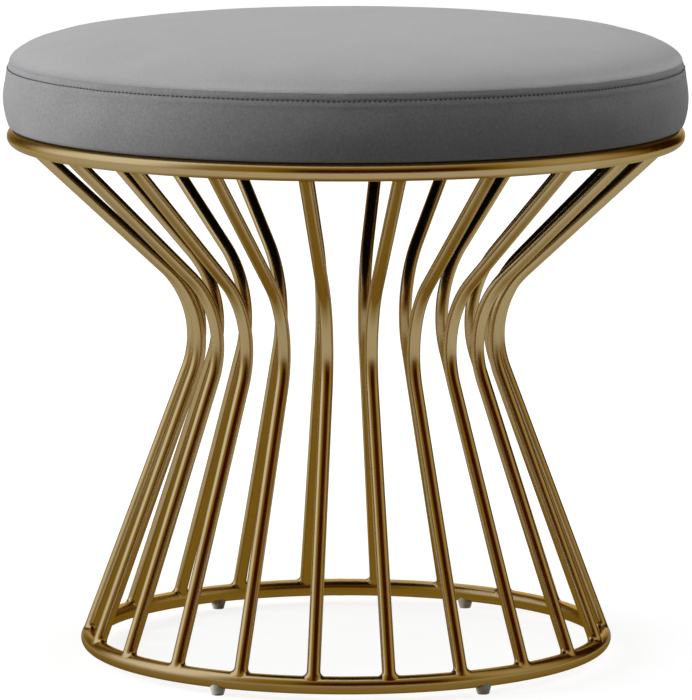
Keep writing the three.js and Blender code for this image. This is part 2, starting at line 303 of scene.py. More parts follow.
def round_the_axis(master, names, angles):
    """Copies a piece modelled on the +X side to each angle, each copy with its own mesh."""
    made = []
    for name, angle in zip(names, angles):
        piece = master.copy()
        piece.data = master.data.copy()
        piece.name = piece.data.name = name
        piece.data.transform(Matrix.Rotation(FRONT + angle, 4, "Z"))
        bpy.context.scene.collection.objects.link(piece)
        made.append(piece)
    bpy.data.objects.remove(master)
    return made


def numbered(name, count):
    """Names for copies: name_01, name_02 and so on."""
    return [f"{name}_{i + 1:02d}" for i in range(count)]


def rod_pitch():
    """Angle from one rod to the next."""
    return TURN / len(nodes_named("rod_"))


def lug_places():
    """Angles of the lugs, each in the middle of a gap between rods."""
    return [gap * rod_pitch() for gap in LUG_GAPS]


def arc(centre, radius, start, end, steps):
    """Points of an arc of a half section, from one angle to the other."""
    turns = [start + (end - start) * i / steps for i in range(steps + 1)]
    return [(centre[0] + radius * math.cos(a), centre[1] + radius * math.sin(a)) for a in turns]


def coat(piece, material):
    """Gives a piece its one material."""
    piece.data.materials.clear()
    piece.data.materials.append(material)


def dress(piece, material, slot, *stands_for, sharp=40):
    """Gives a finished piece its material, shading and body, and hides the CAD nodes that it stands
    for.
    """
    coat(piece, material)
    activate(piece)
    bpy.ops.object.shade_smooth_by_angle(angle=math.radians(sharp))
    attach(piece, "root")
    if stands_for:
        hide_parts(*stands_for)


def dress_round(master, name, angles, start, material, slot, sharp=40):
    """Copies a piece round the axis and finishes each copy, one for each CAD node of its kind."""
    nodes = nodes_named(start)
    pieces = round_the_axis(master, numbered(name, len(nodes)), angles)
    for piece, node in zip(pieces, nodes):
        dress(piece, material, slot, node, sharp=sharp)


# Materials


def add(tree, kind, inputs=(), stops=(), **settings):
    """Adds a node, sets or links its sockets, sets a colour ramp's stops, and gives its outputs."""
    node = tree.nodes.new(kind)
    for name, value in settings.items():
        setattr(node, name, value)
    for socket, value in dict(inputs).items():
        if isinstance(value, bpy.types.NodeSocket):
            tree.links.new(value, node.inputs[socket])
        else:
            node.inputs[socket].default_value = value
    for i, (position, shade) in enumerate(stops):
        node.color_ramp.elements[i].position = position
        node.color_ramp.elements[i].color = shade
    return node.outputs


def rgba(rgb, factor=1):
    """A colour with alpha, lighter or darker by a factor."""
    return [min(1, channel * factor) for channel in rgb[:3]] + [1]


def per(millimetres):
    """Scale of a noise or wave texture whose features are that far apart."""
    return 1 / (millimetres * MM)


def new_material(name):
    """An empty node material, its tree and the place on the piece, in metres."""
    material = bpy.data.materials.get(name) or bpy.data.materials.new(name)
    material.use_nodes = True
    tree = material.node_tree
    tree.nodes.clear()
    place = add(tree, "ShaderNodeTexCoord")["Object"]
    return material, tree, place


def surfaced(material, inputs, kind="ShaderNodeBsdfPrincipled"):
    """Gives a material the shader that it ends in, and gives the material back."""
    tree = material.node_tree
    add(tree, "ShaderNodeOutputMaterial", {"Surface": add(tree, kind, inputs)[0]})
    return material


def shaded(tree, pattern, tone, darker, lighter, low=NOISE_LOW, high=NOISE_HIGH):
    """A tone that turns from darker to lighter as a pattern's value climbs from low to high."""
    stops = [(low, rgba(tone, darker)), (high, rgba(tone, lighter))]
    return add(tree, "ShaderNodeValToRGB", {"Fac": pattern}, stops)[0]


def wander(tree, place, millimetres, low, high):
    """A value that wanders between two levels over that many millimetres."""
    drift = add(tree, "ShaderNodeTexNoise", {"Vector": place, "Scale": per(millimetres)})[0]
    inputs = {"Value": drift, "From Min": NOISE_LOW, "From Max": NOISE_HIGH}
    inputs.update({"To Min": low, "To Max": high})
    return add(tree, "ShaderNodeMapRange", inputs)[0]


def satin_brass(colours):
    """Bright brass plate on drawn steel bar, satined by fine abrasive and lacquered."""
    material, tree, place = new_material("satin_brass_plate")
    # Tarnish under the lacquer drifts a little over a few centimetres
    drift = add(tree, "ShaderNodeTexNoise", {"Vector": place, "Scale": per(34)})[0]
    # Buffing leaves the surface very slightly uneven, so that a highlight's edge wavers
    buffing = add(tree, "ShaderNodeTexNoise", {"Vector": place, "Scale": per(5)})[0]
    relief = {"Height": buffing, "Strength": 0.1, "Distance": 0.02 * MM}
    inputs = {
        "Base Color": shaded(tree, drift, colours.brass, 0.96, 1.03),
        "Metallic": 1,
        "Roughness": wander(tree, place, 9, 0.19, 0.23),
        # Brass stays yellow where it is seen at a glancing angle
        "Specular Tint": rgba(linear("#D6C496")),
        "Coat Weight": 0.07,
        "Coat Roughness": 0.2,
        "Normal": add(tree, "ShaderNodeBump", relief)[0],
    }
    return surfaced(material, inputs)


def painted_rim_light(tree, place, shade, edge_height):
    """Velvet's shade with a painted highlight over some 8 mm above an edge, along the crown's rim.

    Painted paler there, it is painted darker towards the left end: painted light and shade.
    """
    axes = add(tree, "ShaderNodeSeparateXYZ", {0: place})
    over_edge = {
        "Value": axes[2],
        "From Min": edge_height,
        "From Max": edge_height + 8 * MM,
        "To Min": 1,
        "To Max": 0,
    }
    rim_light_across = {
        "Value": axes[0],
        "From Min": -190 * MM,
        "From Max": -50 * MM,
        "To Min": -0.2,
        "To Max": 0.22,
    }
    share, rim_light_level = [
        add(tree, "ShaderNodeMapRange", inputs, interpolation_type="SMOOTHSTEP")[0]
        for inputs in (over_edge, rim_light_across)
    ]
    painted_brightening = add(tree, "ShaderNodeMath", {0: share, 1: rim_light_level, 2: 1}, operation="MULTIPLY_ADD")[0]
    return add(tree, "ShaderNodeVectorMath", {0: shade, "Scale": painted_brightening}, operation="SCALE")[0]


def grey_velvet(name, tone, contrast, relief, edge_height=None, upright=0):
    """Short-pile polyester velvet with a mottled nap, and a painted highlight above an edge if one is
    given.
    """
    material, tree, place = new_material(name)
    # Pile pressed one way or the other reads as soft patches a few centimetres wide
    patches = add(tree, "ShaderNodeTexNoise", {"Vector": place, "Scale": per(38)})[0]
    # Tufts are about 0.4 mm across, drawn at 1.6 mm because finer ones vanish in the render
    inputs = {"Vector": place, "Scale": per(1.6), "Roughness": 0.6}
    tufts = add(tree, "ShaderNodeTexNoise", inputs)[0]
    # The patches add a quarter of their own range to that of the tufts
    patch_share = 0.25
    low, high = 0.38, 0.87
    inputs = {0: patches, 1: patch_share, 2: tufts}
    mottle = add(tree, "ShaderNodeMath", inputs, operation="MULTIPLY_ADD")[0]
    shade = shaded(tree, mottle, tone, 1 - contrast, 1 + contrast, low, high)
    # Painted highlight along the crown's rim, painted darker at its left end
    if edge_height is not None:
        shade = painted_rim_light(tree, place, shade, edge_height)
    # Brushed pile stands more upright than the cloth under it slopes, and so evens out the crown
    cloth = add(tree, "ShaderNodeNewGeometry")["Normal"]
    pile = add(tree, "ShaderNodeVectorMath", {0: cloth, 1: (0, 0, upright)}, operation="ADD")[0]
    pile = add(tree, "ShaderNodeVectorMath", {0: pile}, operation="NORMALIZE")[0]
    bumps = {"Height": tufts, "Strength": 1, "Distance": relief, "Normal": pile}
    inputs = {
        "Base Color": shade,
        "Roughness": 0.95,
        "Specular IOR Level": 0.1,
        "Sheen Weight": 0.15,
        "Sheen Roughness": 0.4,
        "Normal": add(tree, "ShaderNodeBump", bumps)[0],
    }
    return surfaced(material, inputs)


def sewing_thread(colours):
    """Twisted polyester thread: a soft gloss with the twist's slanting ridges."""
    material, tree, place = new_material("twisted_polyester_thread")
    inputs = {"Vector": place, "Scale": per(1.2), "Distortion": 1}
    twist = add(tree, "ShaderNodeTexWave", inputs)["Fac"]
    # Dark thread: its own grey, painted darker for the shade in its needle holes and groove
    shade = shaded(tree, twist, colours.thread, 0.8, 1.15)
    inputs = {"Base Color": shade, "Roughness": 0.6, "Sheen Weight": 0.3}
    return surfaced(material, inputs)


def natural_nylon(colours):
    """Moulded nylon without pigment: milky, slightly glossy, with light in its thin edges."""
    material, tree, place = new_material("moulded_natural_nylon")
    cloud = add(tree, "ShaderNodeTexNoise", {"Vector": place, "Scale": per(3)})[0]
    inputs = {
        "Base Color": shaded(tree, cloud, colours.glide, 0.9, 1.08),
        "Roughness": wander(tree, place, 1, 0.35, 0.5),
        "IOR": 1.53,
        "Subsurface Weight": 0.3,
        "Subsurface Scale": 2 * MM,
    }
    return surfaced(material, inputs)


def spun_bonded_cloth(colours):
    """Black spun-bonded polypropylene: dull fibres pinched by rows of small bonding dots."""
    material, tree, place = new_material("spun_bonded_polypropylene")
    # The bonding dots stand 1.2 mm apart, drawn at 2.4 mm so that they show
    inputs = {"Vector": place, "Scale": per(2.4), "Randomness": 0.15}
    dots = add(tree, "ShaderNodeTexVoronoi", inputs)["Distance"]
    inputs = {"Vector": place, "Scale": per(2), "Detail": 4, "Roughness": 0.7}
    fibres = add(tree, "ShaderNodeTexNoise", inputs)[0]
    relief = {"Height": dots, "Strength": 0.4, "Distance": 0.15 * MM}
    inputs = {
        "Base Color": shaded(tree, fibres, colours.cloth, 0.6, 1.8),
        "Roughness": 0.85,
        "Specular IOR Level": 0.15,
        "Normal": add(tree, "ShaderNodeBump", relief)[0],
    }
    return surfaced(material, inputs)


def zinc_plate(colours):
    """Bright zinc on steel fixings: a cool, slightly cloudy metal."""
    material, tree, place = new_material("bright_zinc_plate")
    cloud = add(tree, "ShaderNodeTexNoise", {"Vector": place, "Scale": per(2.5), "Detail": 3})[0]
    inputs = {
        "Base Color": shaded(tree, cloud, colours.zinc, 0.85, 1.05),
        "Metallic": 1,
        "Roughness": wander(tree, place, 1, 0.28, 0.42),
    }
    return surfaced(material, inputs)


def birch_plywood(colours):
    """Rotary-cut birch plywood: pale wavy grain on the faces and thin plies on the edge."""
    material, tree, place = new_material("birch_plywood")
    # Grain lines lie 4 mm apart and run far along Y, and the plies are 1.5 mm thick
    stretch = add(tree, "ShaderNodeMapping", {"Vector": place, "Scale": (1, 0.06, 1)})[0]
    inputs = {"Vector": stretch, "Scale": per(4), "Detail": 4, "Roughness": 0.6}
    grain = add(tree, "ShaderNodeTexNoise", inputs)[0]
    inputs = {"Vector": place, "Scale": per(1.5) / TURN, "Distortion": 0.3}
    plies = add(tree, "ShaderNodeTexWave", inputs, bands_direction="Z")["Fac"]
    both = add(tree, "ShaderNodeMath", {0: grain, 1: plies}, operation="ADD")[0]
    relief = {"Height": grain, "Strength": 0.2, "Distance": 0.1 * MM}
    inputs = {
        "Base Color": shaded(tree, both, colours.plywood, 0.7, 1.1, 0.5, 1),
        "Roughness": 0.65,
        "Normal": add(tree, "ShaderNodeBump", relief)[0],
    }
    return surfaced(material, inputs)


def seat_foam(colours):
    """Cut polyurethane foam: matte, with open cells about a millimetre across."""
    material, tree, place = new_material("cut_polyurethane_foam")
    cells = add(tree, "ShaderNodeTexVoronoi", {"Vector": place, "Scale": per(1.2)})["Distance"]
    relief = {"Height": cells, "Strength": 0.5, "Distance": 0.3 * MM}
    inputs = {
        # The cells' hollows are painted darker, a painted shade
        "Base Color": shaded(tree, cells, colours.foam, 0.7, 1, 0, 0.6),
        "Roughness": 0.95,
        "Normal": add(tree, "ShaderNodeBump", relief)[0],
    }
    return surfaced(material, inputs)


# The cage


def hoop(name, radius, height, sizes):
    """A hoop of round bar, with the slight swell of its ground butt weld at the back."""
    piece = begin(
        name,
        bpy.ops.mesh.primitive_torus_add,
        major_segments=HOOP_STEPS,
        minor_segments=BAR_SIDES,
        major_radius=radius,
        minor_radius=sizes.bar_diameter / 2,
        location=(0, 0, height),
    )
    seam_half_width = 3 * MM
    seam_swell = 0.12 * MM
    with editing(piece):
        pick(piece, lambda p: p.y > 0 and abs(p.x) < seam_half_width)
        bpy.ops.transform.shrink_fatten(value=seam_swell)
    return piece


def weld(end, into, radius, height, sizes):
    """Gives the rule for one loop of a weld, from the rod's skin at share 0 to the bar's at share 1.

    end is the middle of the rod in the bar, into the rod's direction there, and radius and height
    are those of the hoop's centre line.
    """
    bar = sizes.bar_diameter / 2
    march = 0.05 * MM
    sunk = 0.06 * MM

    def from_bar(point):
        centre_line = Vector((point.x, point.y, 0)).normalized() * radius
        centre_line.z = height
        return point - centre_line

    def loop_at(share):
        def rule(place):
            out = place - end
            out = (out - out.dot(into) * into).normalized()
            meet = end + out * sizes.rod_diameter / 2 - into * 3 * bar
            while from_bar(meet).length > bar:
                ahead = meet + into * march
                if from_bar(ahead).length > from_bar(meet).length:
                    break
                meet = ahead
            face = from_bar(meet).normalized()
            toe = meet + (out - out.dot(face) * face).normalized() * sizes.weld_leg
            toe -= from_bar(toe) - from_bar(toe).normalized() * (bar - sunk)
            start = meet - into * sizes.weld_leg
            back = 1 - share
            return start * back**2 + meet * 2 * share * back + toe * share**2

        return rule

    return loop_at


def bent_rod(sizes):
    """A rod on the +X side: bent at the waist, with a weld fillet at each end, closed in the bars."""
    foot = Vector((sizes.bottom_radius + sizes.foot_offset, 0, sizes.bottom_height))
    corner = Vector((sizes.waist_radius, 0, sizes.waist_height))
    head = Vector((sizes.top_radius - sizes.head_setback, 0, sizes.top_height))
    rise = (corner - foot).normalized()
    splay = (head - corner).normalized()
    turn = rise.angle(splay)
    run = sizes.bend_radius * math.tan(turn / 2)
    bend_start = corner - rise * run
    bend_end = corner + splay * run
    bend_centre = bend_start + Vector((rise.z, 0, -rise.x)) * sizes.bend_radius
    clear = sizes.bar_diameter + sizes.rod_diameter
    low = foot + rise * clear
    high = head - splay * clear
    piece = begin(
        "rod",
        bpy.ops.mesh.primitive_circle_add,
        vertices=ROD_SIDES,
        radius=sizes.rod_diameter / 2,
        location=low,
        rotation=(0, math.atan2(rise.x, rise.z), 0),
    )
    with editing(piece, "SELECT"):
        extrude(bend_start - low)
        bpy.ops.mesh.spin(steps=BEND_STEPS, angle=turn, center=bend_centre, axis=(0, -1, 0))
        extrude(high - bend_end)
        top_weld = weld(head, splay, sizes.top_radius, sizes.top_height, sizes)
        bottom_weld = weld(foot, -rise, sizes.bottom_radius, sizes.bottom_height, sizes)
        for loop_at in (top_weld, bottom_weld):
            for share in WELD_SHARES:
                extrude()
                lay(piece, loop_at(share))
            extrude()
            bpy.ops.mesh.merge(type="CENTER")
            pick(piece, lambda p: abs((p - low).dot(rise)) < TOUCH)
    close_up(piece)
    return piece


def glide(sizes):
    """A tapered pad that hugs the bottom hoop's underside, with its pin, on the +X side."""
    bar = sizes.bar_diameter / 2
    pad_height = sizes.bottom_height - bar
    edge = sizes.glide_edge
    base = sizes.glide_base / 2
    rim = sizes.glide_top / 2
    outline = [(0, 0), *arc((base - edge, edge), edge, -QUARTER, 0, 5), (rim, pad_height)]
    piece = turned("glide", outline)
    centre = Vector((sizes.bottom_radius, 0, 0))
    shift(piece, centre)

    def on_bar(point):
        across = math.hypot(point.x, point.y) - sizes.bottom_radius
        return Vector((point.x, point.y, sizes.bottom_height - math.sqrt(bar**2 - across**2)))

    saddle_shares = [0.8, 0.6, sizes.glide_pin / sizes.glide_top]
    with editing(piece):
        pick(piece, lambda p: p.z > pad_height - TOUCH)
        extrude()
        lay(piece, on_bar)
        for share in saddle_shares:
            extrude()
            ring = share * rim
            lay(piece, lambda p: on_bar(centre + (p - centre).to_2d().normalized().to_3d() * ring))
        extrude((0, 0, bar))
        extrude()
        bpy.ops.mesh.merge(type="CENTER")
    close_up(piece)
    return piece


# The seat


def join_place(sizes):
    """Radius and height of the seam join."""
    return sizes.seat_radius - sizes.join_draw, sizes.seat_base + sizes.join


def crown(sizes, inset, steps=CROWN_STEPS):
    """Half section of the seat's top, from the axis out to the join, moved in by an inset."""
    # Powers of a superellipse: the crown stays flat far out and then rounds down to the join
    fullness, roundness = 3.4, 1.95
    join = join_place(sizes)
    points = []
    for i in range(steps + 1):
        angle = QUARTER * i / steps
        across = math.sin(angle) ** (2 / fullness)
        up = max(0, math.cos(angle)) ** (2 / roundness)
        points.append(((join[0] - inset) * across, join[1] + (sizes.crown_rise - inset) * up))
    return points


def side_radius(sizes, height):
    """Radius of the seat's side at a height over the underside, before it is sewn."""
    if height > sizes.belly:
        share = (height - sizes.belly) / (sizes.join - sizes.belly)
        return sizes.seat_radius - sizes.join_draw * share**2
    share = (sizes.belly - height) / (sizes.belly - sizes.hem_corner)
    return sizes.seat_radius - sizes.hem_draw * share**2


def hem_corner(sizes, inset, steps):
    """Half section of the rounded lower corner, tangent to the side and the underside."""
    slope = math.atan(2 * sizes.hem_draw / (sizes.belly - sizes.hem_corner))
    radius = sizes.hem_corner / (1 - math.sin(slope))
    centre_radius = side_radius(sizes, sizes.hem_corner) - radius * math.cos(slope)
    return arc((centre_radius, sizes.seat_base + radius), radius - inset, -slope, -QUARTER, steps)


def sewn(sizes, drop):
    """How far sewing pushes the band out, at a distance below the join: strip, groove and puff."""
    strip_rise, groove_depth, puff_rise = 0.15 * MM, 0.15 * MM, 0.3 * MM
    groove_reach, puff_reach, puff_drop = 0.6 * MM, 2.2 * MM, 3.2 * MM
    below = drop - sizes.stitch_drop
    strip = strip_rise * math.sin(math.pi * min(1, drop / sizes.stitch_drop))
    groove = groove_depth * math.exp(-((below / groove_reach) ** 2))
    puff = puff_rise * math.exp(-(((below - puff_drop) / puff_reach) ** 2))
    return strip - groove + puff


def top_panel(sizes):
    """The cover's crowned top, a skin whose rounded edge lies on the band's at the join."""
    edge = JOIN_EDGE
    outside = crown(sizes, 0)[:-1]
    join = join_place(sizes)
    turned_in = [(join[0] - JOIN_GAP, join[1] + edge), (join[0] - edge, join[1] + JOIN_GAP)]
    inside = crown(sizes, sizes.cover, 12)
    return turned("velvet_top_panel", [*outside, *turned_in, *reversed(inside)], PANEL_STEPS)


def side_band(sizes):
    """The cover's side, a skin from the join down and in under the board, lying on the top hoop."""
    edge = JOIN_EDGE
    join = join_place(sizes)
    # Distances below the join, close together where the band is sewn
    fine = [edge + 0.45 * MM * i for i in range(24)]
    coarse_run = sizes.join - sizes.hem_corner - fine[-1]
    coarse_steps = 14
    coarse = [fine[-1] + coarse_run * i / coarse_steps for i in range(1, coarse_steps + 1)]
    outside = [
        (side_radius(sizes, sizes.join - drop) + sewn(sizes, drop), join[1] - drop)
        for drop in [*fine, *coarse]
    ]
    hem_edge = join[0] - sizes.hem_width
    corner = hem_corner(sizes, 0, 8)
    # The cloth bulges down on to the top hoop over a strip of 4 mm, and is flat from there in
    rest = sizes.seat_base - sizes.top_height - sizes.bar_diameter / 2
    rest_half_width = 2 * MM
    under = [
        (sizes.top_radius + rest_half_width * share, sizes.seat_base - rest * (1 - share**2))
        for share in (1, 0.5, 0, -0.5, -1)
    ]
    flat = sizes.top_radius - hem_edge
    under += [(hem_edge + flat * share, sizes.seat_base) for share in (0.6, 0.3, 0)]
    inside = [
        (side_radius(sizes, sizes.join - drop) - sizes.cover, join[1] - drop)
        for drop in (edge, *coarse[::4])
    ]
    back = [(hem_edge, sizes.seat_base + sizes.cover), *reversed(hem_corner(sizes, sizes.cover, 4))]
    turned_in = (join[0] - edge, join[1] - JOIN_GAP)
    outline = [turned_in, *outside, *corner[1:], *under, *back, *reversed(inside), turned_in]
    return turned("velvet_side_band", outline, 2 * stitch_count(sizes))


def stitch_count(sizes):
    """Stitches round the seat."""
    radius = side_radius(sizes, sizes.join - sizes.stitch_drop)
    return round(TURN * radius / sizes.stitch_pitch)


def stuffing(sizes):
    """The stuffed seat as one closed form, a little inside the cover, in an even net of faces."""
    inset = 3 * MM
    voxel = 5 * MM
    heights = [sizes.join * (1 - i / 8) for i in range(1, 8)]
    outline = [*crown(sizes, inset, 24)]
    outline += [(side_radius(sizes, height) - inset, sizes.seat_base + height) for height in heights]
    floor_edge = side_radius(sizes, heights[-1]) - 2 * inset
    outline += [(floor_edge, sizes.seat_base + inset), (0, sizes.seat_base + inset)]
    piece = turned("stuffing", outline, 2 * TURNED_STEPS)
    piece.data.remesh_voxel_size = voxel
    activate(piece)
    bpy.ops.object.voxel_remesh()
    return piece


def simulated_moves(sizes):
    """Swells the stuffing as cloth under pressure, held at its foot, and lists each capped move."""
    piece = stuffing(sizes)
    held_height = sizes.seat_base + 9 * MM
    cap = 5 * MM
    shortest = MM * MM
    frames = 20
    pressure = 4
    start = [vertex.co.copy() for vertex in piece.data.vertices]
    held = piece.vertex_groups.new(name="held")
    held.add([i for i, place in enumerate(start) if place.z < held_height], 1, "REPLACE")
    cloth = piece.modifiers.new("Cloth", "CLOTH")
    cloth.settings.use_pressure = True
    cloth.settings.uniform_pressure_force = pressure
    cloth.settings.effector_weights.gravity = 0
    cloth.settings.vertex_group_mass = held.name
    for frame_number in range(1, frames + 1):
        bpy.context.scene.frame_set(frame_number)
    activate(piece)
    bpy.ops.object.modifier_apply(modifier=cloth.name)
    bpy.context.scene.frame_set(1)
    moves = [vertex.co - place for vertex, place in zip(piece.data.vertices, start)]
    moves = [move * min(1, cap / max(move.length, shortest)) for move in moves]
    bpy.data.objects.remove(piece)
    return start, moves


def unevenness(sizes):
    """Gives the rule for how far the simulated stuffing pushes a place off the seat's round form.

    The fitted outline already holds the swelling that is the same all round, so that is taken off.
    """
    start, moves = simulated_moves(sizes)
    tree = kdtree.KDTree(len(start))
    for i, place in enumerate(start):
        tree.insert(place, i)
    tree.balance()
    neighbours = 10
    ring_steps = 36
    # Dense foam under a tightly drawn cover shows only this much of it
    firmness = 0.35
    rings = {}

    def swelling(place):
        """Outward and upward parts of the moves of the nearest points, the nearer the stronger."""
        near = [(moves[i], 1 / (distance + MM)) for _, i, distance in tree.find_n(place, neighbours)]
        total = sum(weight for _, weight in near)
        move = sum((step * (weight / total) for step, weight in near), Vector())
        out = place.to_2d().normalized()
        return out.dot(move.to_2d()), move.z

    def round_share(place):
        """The mean of the swelling all round the seat at a place's radius and height."""
        radius = place.to_2d().length
        ring = (round(radius / MM, 2), round(place.z / MM, 2))
        if ring not in rings:
            angles = [TURN * i / ring_steps for i in range(ring_steps)]
            points = [Vector((radius * math.cos(a), radius * math.sin(a), place.z)) for a in angles]
            around = [swelling(point) for point in points]
            rings[ring] = [sum(part) / ring_steps for part in zip(*around)]
        return rings[ring]

    def rule(place):
        if place.to_2d().length < MM:
            return Vector()
        outward, upward = swelling(place)
        round_outward, round_upward = round_share(place)
        out = place.to_2d().normalized().to_3d() * (outward - round_outward)
        return (out + Vector((0, 0, upward - round_upward))) * firmness

    return rule


def settle(piece, sizes, uneven, sewn_here=True):
    """Gives a piece of the seat the stuffing's unevenness, and puckers the cloth at the seam."""
    join_height = join_place(sizes)[1]
    seam = join_height - sizes.stitch_drop
    count = stitch_count(sizes)
    hole_depth, ripple, sag = 0.25 * MM, 0.14 * MM, 0.3 * MM
    hole_reach, ripple_reach, rim_width = 0.8 * MM, 9 * MM, 8 * MM
    # Millimetres from one slack place to the next, and from one ripple beside the seam to the next
    slack_pitch, ripple_pitch = 70, 11
    flat_edge = sizes.seat_radius - 12 * MM

    def rule(place):
        radius = place.to_2d().length
        if radius < flat_edge and place.z < join_height:
            return place
        angle = math.atan2(place.y, place.x)
        out = Vector((math.cos(angle), math.sin(angle), 0))
        rim = min(1, max(0, (radius - flat_edge) / rim_width))
        slack = noise.noise(place * per(slack_pitch)) * sag
        moved = place + uneven(place) + out * (slack * rim) + Vector((0, 0, slack * (1 - rim)))
        if not sewn_here:
            return moved
        near_seam = math.exp(-(((place.z - seam) / hole_reach) ** 2))
        hole = near_seam * (0.5 + 0.5 * math.cos(count * angle)) ** 2
        beside = math.exp(-(((place.z - seam) / ripple_reach) ** 2))
        waves = noise.noise(place * per(ripple_pitch)) * beside
        return moved + out * (waves * ripple - hole * hole_depth)

    with editing(piece, "SELECT"):
        lay(piece, rule)


def topstitch(sizes):
    """One stitch, a short bulging thread that dives at both ends, repeated all round the seam."""
    count = stitch_count(sizes)
    radius = sizes.thread / 2
    seam = sizes.join - sizes.stitch_drop
    groove = side_radius(sizes, seam) + sewn(sizes, sizes.stitch_drop)
    centre = Vector((groove + radius * 0.8, 0, sizes.seat_base + seam))
    half = 0.2 * sizes.stitch_pitch
    piece = begin(
        "topstitch",
        bpy.ops.mesh.primitive_circle_add,
        vertices=6,
        radius=0.9 * radius,
        location=centre + Vector((0, -half, 0)),
        rotation=(QUARTER, 0, 0),
    )
    # The thread bulges outwards and swells up to its middle, and then back
    bulge = 0.15 * radius
    steps = [(bulge, 1.15), (-bulge, 0.87)]
    with editing(piece, "SELECT"):
        for outward, size in steps:
            extrude((outward, half, 0))
            bpy.ops.transform.resize(value=(size, 1, size))
        for sign in (1, -1):
            pick(piece, lambda p: sign * p.y > half - TOUCH)
            dive = (-1.6 * radius, sign * 0.07 * sizes.stitch_pitch, 0)
            extrude(dive)
            bpy.ops.mesh.merge(type="CENTER")
        bpy.ops.mesh.select_all(action="SELECT")
        bpy.ops.mesh.normals_make_consistent(inside=False)
    piece.data.transform(Matrix.Rotation(TURN / count / 2, 4, "Z"))
    last = TURN * (count - 1) / count
    with editing(piece, "SELECT"):
        bpy.ops.mesh.spin(steps=count - 1, dupli=True, angle=last, center=(0, 0, 0), axis=(0, 0, 1))
    return piece


def foam_pad(sizes):
    """The foam that fills the cover over the board and wraps down round the board's edge."""
    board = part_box("seat_board")[1]
    gap = 0.3 * MM
    inset = sizes.cover + gap
    board_top = board.z + gap
    board_edge = board.x + gap
    heights = [sizes.join - (sizes.join - sizes.hem_corner) * i / 10 for i in range(11)]
    side = [(side_radius(sizes, height) - inset, sizes.seat_base + height) for height in heights]
    outline = [*crown(sizes, inset, 24), *side, (board_edge, sizes.seat_base + sizes.hem_corner)]
    outline += [(board_edge, board_top), (0, board_top)]
    return turned("foam_pad", outline, 4 * TURNED_STEPS)


def base_cloth():
    """The black cloth stapled under the seat, hanging a little slack in the middle."""
    low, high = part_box("dust_cover")
    sag = 1.6 * MM
    flat_from = 0.8 * high.x
    radii = [high.x * i / 24 for i in range(25)]

    def drop(radius):
        return sag * max(0, 1 - (radius / flat_from) ** 2) ** 2

    outline = [(radius, low.z - drop(radius)) for radius in radii]
    outline += [(radius, high.z - drop(radius)) for radius in reversed(radii)]
    return turned("base_cloth", outline, 4 * TURNED_STEPS)


# Fixings


def lug(sizes):
    """A flat lug from the top hoop's inside in under the seat, with rounded edges and a hole."""
    height = middle("mounting_tab_01").z
    thickness = span("mounting_tab_01").z
    width, corner, hole, edge = 22 * MM, 3 * MM, 3.6 * MM, 0.4 * MM
    inner = sizes.top_radius - LUG_REACH
    piece = begin(
        "lug",
        bpy.ops.mesh.primitive_cube_add,
        size=1,
        location=(inner + LUG_REACH / 2, 0, height),
        scale=(LUG_REACH, width, thickness),
    )
    with editing(piece):
        bpy.ops.mesh.select_mode(type="EDGE")
        cage = bmesh.from_edit_mesh(piece.data)
        for side in cage.edges:
            first, last = side.verts
            upright = abs(first.co.z - last.co.z) > thickness / 2
            side.select_set(upright and first.co.x < inner + corner)
        bmesh.update_edit_mesh(piece.data)
        bpy.ops.mesh.bevel(offset=corner, segments=6)
    drill = begin(
        "drill",
        bpy.ops.mesh.primitive_cylinder_add,
        vertices=TURNED_STEPS,
        radius=hole,
        depth=20 * MM,
        location=(inner + LUG_HOLE, 0, height),
    )
    cut(piece, drill)
    modify(piece, "BEVEL", width=edge, segments=2, limit_method="ANGLE", angle_limit=math.radians(50))
    return piece


def put_in_lug(piece, sizes):
    """Moves a fixing from the axis to where a lug on the +X side has its hole."""
    shift(piece, (sizes.top_radius - LUG_REACH + LUG_HOLE, 0, 0))


def seat_screw(sizes):
    """A button-head screw, head down, with a hexagon socket and a rolled thread."""
    low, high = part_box("seat_screw_01")
    head, head_rise, shank, pitch = 5.5 * MM, 3.3 * MM, 3 * MM, 1 * MM
    flat, dome, edge = 2.9 * MM, 2.6 * MM, 0.2 * MM
    thread_depth, point, socket, socket_depth = 0.45 * MM, 0.6 * MM, 4 * MM, 2 * MM
    shoulder = low.z + head_rise
    outline = [(0, low.z)]
    for i in range(7):
        angle = QUARTER * i / 6
        radius = flat + (head - flat) * math.sin(angle)
        outline.append((radius, low.z + dome * (1 - math.cos(angle))))
    outline += [(head, shoulder - edge), (head - edge, shoulder), (shank, shoulder)]
    for i in range(1, int((high.z - shoulder) / pitch) - 1):
        foot = shoulder + i * pitch
        outline += [(shank, foot), (shank - thread_depth, foot + pitch / 2)]
    outline += [(shank, high.z - pitch), (shank - point, high.z), (0, high.z)]
    piece = turned("seat_screw", outline)
    # The key is turned off the head's own edges, so that the cut leaves no slivers
    key = begin(
        "key",
        bpy.ops.mesh.primitive_cylinder_add,
        vertices=6,
        radius=socket / 2 / math.cos(math.pi / 6),
        depth=2 * socket_depth,
        location=(0, 0, low.z),
        rotation=(0, 0, math.radians(4)),
    )
    cut(piece, key)
    put_in_lug(piece, sizes)
    return piece


def washer(sizes):
    """A punched washer with one rounded side."""
    low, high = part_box("washer_01")
    hole, rim, edge = 3.3 * MM, 6.5 * MM, 0.25 * MM
    outline = [(hole, low.z), *arc((rim - edge, low.z + edge), edge, -QUARTER, 0, 3), (rim, high.z)]
    outline += [(hole, high.z), (hole, low.z)]
    piece = turned("washer", outline)
    put_in_lug(piece, sizes)
    return piece


